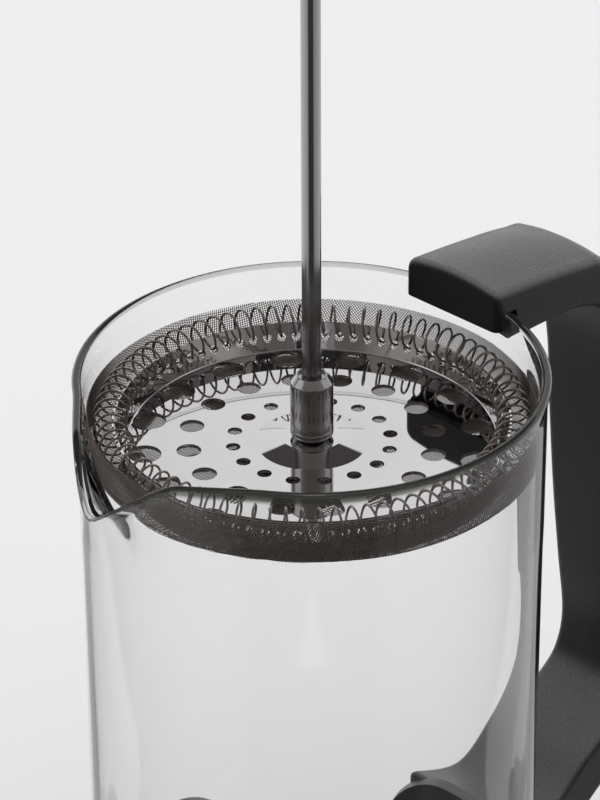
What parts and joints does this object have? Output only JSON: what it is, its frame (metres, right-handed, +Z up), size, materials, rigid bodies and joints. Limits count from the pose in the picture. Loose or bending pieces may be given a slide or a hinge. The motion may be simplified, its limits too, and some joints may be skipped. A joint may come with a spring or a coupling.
{
  "type": "french press",
  "caption": "Glass french press in a black moulded holder with a lid and a sprung filter plunger on a steel rod",
  "frame": {"origin": "on the beaker's axis, in the plane of the holder's foot ring", "axes": "+Z up along the beaker's axis, +X towards the handle, -X towards the pouring lip"},
  "size_m": [0.1748, 0.103, 0.391],
  "materials": {
    "holder_plastic": "fine spark-eroded matte black",
    "beaker_glass": "clear borosilicate, fire-polished rim",
    "lid_plastic": "fine matte black",
    "liner_plastic": "satin black",
    "bush_steel": "turned",
    "clip_steel": "spring steel",
    "knob_plastic": "smooth black",
    "insert_brass": "turned",
    "rod_steel": "polished stainless",
    "hub_steel": "turned and polished stainless",
    "dish_steel": "mirror polished stainless sheet",
    "spring_steel": "bright drawn wire",
    "screen_steel": "fine plain weave",
    "plate_steel": "satin stainless"
  },
  "bodies": {
    "holder": {"holder": "holder_plastic"},
    "beaker": {"beaker": "beaker_glass"},
    "lid": {"lid_dome": "lid_plastic", "lid_liner": "liner_plastic"},
    "guide": {"guide_bush": "bush_steel", "bush_clip": "clip_steel"},
    "plunger": {"knob": "knob_plastic", "knob_insert": "insert_brass", "rod": "rod_steel", "hub_sleeve": "hub_steel", "hub_collar": "hub_steel", "filter_dish": "dish_steel", "coil_spring": "spring_steel", "screen": "screen_steel", "spoked_plate": "plate_steel", "clamp_boss": "hub_steel"}
  },
  "joints": [
    {"name": "beaker_turn", "type": "hinge", "parent": "holder", "child": "beaker", "pos_m": [0, 0, 0.1], "axis": [0, 0, 1], "range_deg": [-110, 110]},
    {"name": "lid_lift", "type": "slide", "parent": "holder", "child": "lid", "axis": [0, 0, 1], "range_m": [-0.15, 0.04]},
    {"name": "plunger_spin", "type": "hinge", "parent": "lid", "child": "guide", "pos_m": [0, 0, 0.3332], "axis": [0, 0, 1], "continuous": true},
    {"name": "plunger_slide", "type": "slide", "parent": "guide", "child": "plunger", "axis": [0, 0, 1], "range_m": [0, 0.142], "deforming": ["coil_spring", "screen"]}
  ]
}
